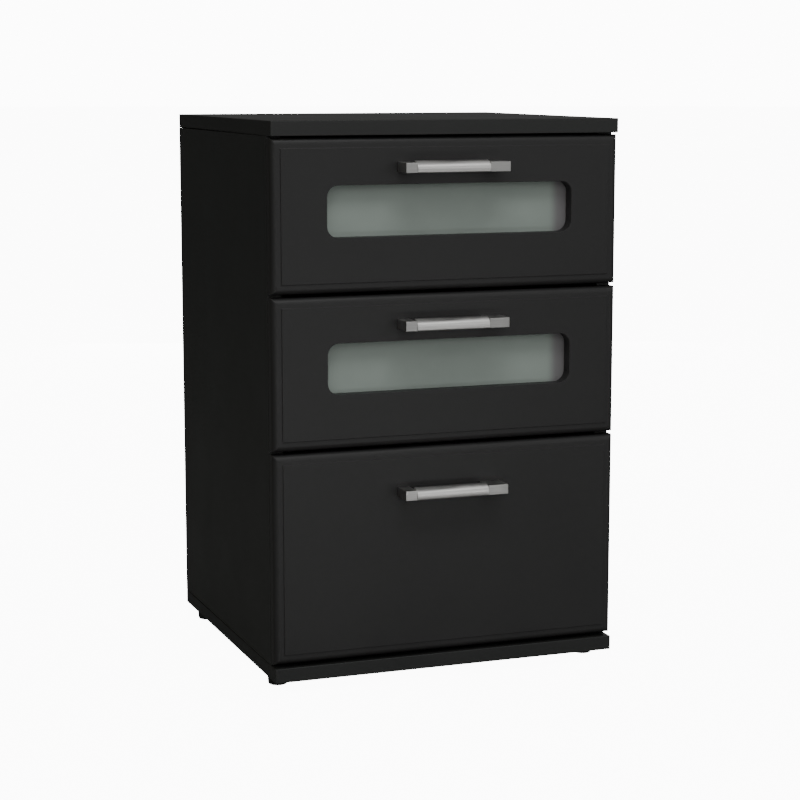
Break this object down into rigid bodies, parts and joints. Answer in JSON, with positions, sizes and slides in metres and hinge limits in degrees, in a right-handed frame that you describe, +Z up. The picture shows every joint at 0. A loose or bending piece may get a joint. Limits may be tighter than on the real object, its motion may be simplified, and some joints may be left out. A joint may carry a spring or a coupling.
{
  "type": "bedside cabinet with drawers",
  "caption": "Free-standing bedside cabinet: board carcass on round glides, stacked drawers on roller runners, frosted windows and metal bar handles.",
  "frame": {"origin": "centre of the object's box in X and Y, handles included, on the floor plane under the glides", "axes": "+Z up, +Y from the drawer fronts to the back, +X to the right seen from the front; drawers slide out along -Y"},
  "size_m": [0.4, 0.408, 0.616],
  "materials": {
    "black_board": "black foil-wrapped board, satin, very fine grain",
    "black_front": "black foil on routed fibreboard, satin",
    "hardboard": "black-faced thin hardboard, matt",
    "drawer_board": "light grey foil-wrapped drawer board, matt",
    "frosted_glass": "satin-etched glass, grey-green",
    "brushed_nickel": "cast metal, brushed nickel plating",
    "satin_nickel": "smooth satin nickel",
    "black_plastic": "black moulded plastic, matt",
    "coated_steel": "white powder-coated sheet steel",
    "roller_plastic": "white nylon"
  },
  "bodies": {
    "cabinet": {"top_panel": "black_board", "bottom_panel": "black_board", "side_panel_left": "black_board", "side_panel_right": "black_board", "back_panel": "hardboard", "glide_front_left": "black_plastic", "glide_front_right": "black_plastic", "glide_rear_left": "black_plastic", "glide_rear_right": "black_plastic", "cabinet_profile_upper_left": "coated_steel", "cabinet_profile_upper_right": "coated_steel", "cabinet_profile_middle_left": "coated_steel", "cabinet_profile_middle_right": "coated_steel", "cabinet_profile_lower_left": "coated_steel", "cabinet_profile_lower_right": "coated_steel"},
    "drawer_upper": {"drawer_upper_front": "black_front", "drawer_upper_side_left": "drawer_board", "drawer_upper_side_right": "drawer_board", "drawer_upper_back": "drawer_board", "drawer_upper_bottom": "hardboard", "drawer_profile_upper_left": "coated_steel", "drawer_profile_upper_right": "coated_steel", "handle_upper_end_left": "brushed_nickel", "handle_upper_grip": "satin_nickel", "handle_upper_end_right": "brushed_nickel", "glass_upper": "frosted_glass"},
    "cabinet_roller_upper_left": {"cabinet_roller_upper_left": "roller_plastic"},
    "drawer_roller_upper_left": {"drawer_roller_upper_left": "roller_plastic"},
    "cabinet_roller_upper_right": {"cabinet_roller_upper_right": "roller_plastic"},
    "drawer_roller_upper_right": {"drawer_roller_upper_right": "roller_plastic"},
    "drawer_middle": {"drawer_middle_front": "black_front", "drawer_middle_side_left": "drawer_board", "drawer_middle_side_right": "drawer_board", "drawer_middle_back": "drawer_board", "drawer_middle_bottom": "hardboard", "drawer_profile_middle_left": "coated_steel", "drawer_profile_middle_right": "coated_steel", "handle_middle_end_left": "brushed_nickel", "handle_middle_grip": "satin_nickel", "handle_middle_end_right": "brushed_nickel", "glass_middle": "frosted_glass"},
    "cabinet_roller_middle_left": {"cabinet_roller_middle_left": "roller_plastic"},
    "drawer_roller_middle_left": {"drawer_roller_middle_left": "roller_plastic"},
    "cabinet_roller_middle_right": {"cabinet_roller_middle_right": "roller_plastic"},
    "drawer_roller_middle_right": {"drawer_roller_middle_right": "roller_plastic"},
    "drawer_lower": {"drawer_lower_front": "black_front", "drawer_lower_side_left": "drawer_board", "drawer_lower_side_right": "drawer_board", "drawer_lower_back": "drawer_board", "drawer_lower_bottom": "hardboard", "drawer_profile_lower_left": "coated_steel", "drawer_profile_lower_right": "coated_steel", "handle_lower_end_left": "brushed_nickel", "handle_lower_grip": "satin_nickel", "handle_lower_end_right": "brushed_nickel"},
    "cabinet_roller_lower_left": {"cabinet_roller_lower_left": "roller_plastic"},
    "drawer_roller_lower_left": {"drawer_roller_lower_left": "roller_plastic"},
    "cabinet_roller_lower_right": {"cabinet_roller_lower_right": "roller_plastic"},
    "drawer_roller_lower_right": {"drawer_roller_lower_right": "roller_plastic"}
  },
  "joints": [
    {"name": "drawer_upper_slide", "type": "slide", "parent": "cabinet", "child": "drawer_upper", "axis": [0, -1, 0], "range_m": [0, 0.22]},
    {"name": "cabinet_roller_upper_left_turn", "type": "hinge", "parent": "cabinet", "child": "cabinet_roller_upper_left", "pos_m": [-0.1775, -0.146, 0.4552], "axis": [1, 0, 0], "range_deg": [0, 1576]},
    {"name": "drawer_roller_upper_left_turn", "type": "hinge", "parent": "drawer_upper", "child": "drawer_roller_upper_left", "pos_m": [-0.1775, 0.1293, 0.4509], "axis": [1, 0, 0], "range_deg": [0, 1576]},
    {"name": "cabinet_roller_upper_right_turn", "type": "hinge", "parent": "cabinet", "child": "cabinet_roller_upper_right", "pos_m": [0.1775, -0.146, 0.4552], "axis": [1, 0, 0], "range_deg": [0, 1576]},
    {"name": "drawer_roller_upper_right_turn", "type": "hinge", "parent": "drawer_upper", "child": "drawer_roller_upper_right", "pos_m": [0.1775, 0.1293, 0.4509], "axis": [1, 0, 0], "range_deg": [0, 1576]},
    {"name": "drawer_middle_slide", "type": "slide", "parent": "cabinet", "child": "drawer_middle", "axis": [0, -1, 0], "range_m": [0, 0.22]},
    {"name": "cabinet_roller_middle_left_turn", "type": "hinge", "parent": "cabinet", "child": "cabinet_roller_middle_left", "pos_m": [-0.1775, -0.146, 0.2873], "axis": [1, 0, 0], "range_deg": [0, 1576]},
    {"name": "drawer_roller_middle_left_turn", "type": "hinge", "parent": "drawer_middle", "child": "drawer_roller_middle_left", "pos_m": [-0.1775, 0.1293, 0.283], "axis": [1, 0, 0], "range_deg": [0, 1576]},
    {"name": "cabinet_roller_middle_right_turn", "type": "hinge", "parent": "cabinet", "child": "cabinet_roller_middle_right", "pos_m": [0.1775, -0.146, 0.2873], "axis": [1, 0, 0], "range_deg": [0, 1576]},
    {"name": "drawer_roller_middle_right_turn", "type": "hinge", "parent": "drawer_middle", "child": "drawer_roller_middle_right", "pos_m": [0.1775, 0.1293, 0.283], "axis": [1, 0, 0], "range_deg": [0, 1576]},
    {"name": "drawer_lower_slide", "type": "slide", "parent": "cabinet", "child": "drawer_lower", "axis": [0, -1, 0], "range_m": [0, 0.22]},
    {"name": "cabinet_roller_lower_left_turn", "type": "hinge", "parent": "cabinet", "child": "cabinet_roller_lower_left", "pos_m": [-0.1775, -0.146, 0.0538], "axis": [1, 0, 0], "range_deg": [0, 1576]},
    {"name": "drawer_roller_lower_left_turn", "type": "hinge", "parent": "drawer_lower", "child": "drawer_roller_lower_left", "pos_m": [-0.1775, 0.1293, 0.0495], "axis": [1, 0, 0], "range_deg": [0, 1576]},
    {"name": "cabinet_roller_lower_right_turn", "type": "hinge", "parent": "cabinet", "child": "cabinet_roller_lower_right", "pos_m": [0.1775, -0.146, 0.0538], "axis": [1, 0, 0], "range_deg": [0, 1576]},
    {"name": "drawer_roller_lower_right_turn", "type": "hinge", "parent": "drawer_lower", "child": "drawer_roller_lower_right", "pos_m": [0.1775, 0.1293, 0.0495], "axis": [1, 0, 0], "range_deg": [0, 1576]}
  ],
  "couplings": [
    {"joint": "cabinet_roller_upper_left_turn", "follows": "drawer_upper_slide", "rad_per_m": 125},
    {"joint": "drawer_roller_upper_left_turn", "follows": "drawer_upper_slide", "rad_per_m": 125},
    {"joint": "cabinet_roller_upper_right_turn", "follows": "drawer_upper_slide", "rad_per_m": 125},
    {"joint": "drawer_roller_upper_right_turn", "follows": "drawer_upper_slide", "rad_per_m": 125},
    {"joint": "cabinet_roller_middle_left_turn", "follows": "drawer_middle_slide", "rad_per_m": 125},
    {"joint": "drawer_roller_middle_left_turn", "follows": "drawer_middle_slide", "rad_per_m": 125},
    {"joint": "cabinet_roller_middle_right_turn", "follows": "drawer_middle_slide", "rad_per_m": 125},
    {"joint": "drawer_roller_middle_right_turn", "follows": "drawer_middle_slide", "rad_per_m": 125},
    {"joint": "cabinet_roller_lower_left_turn", "follows": "drawer_lower_slide", "rad_per_m": 125},
    {"joint": "drawer_roller_lower_left_turn", "follows": "drawer_lower_slide", "rad_per_m": 125},
    {"joint": "cabinet_roller_lower_right_turn", "follows": "drawer_lower_slide", "rad_per_m": 125},
    {"joint": "drawer_roller_lower_right_turn", "follows": "drawer_lower_slide", "rad_per_m": 125}
  ]
}
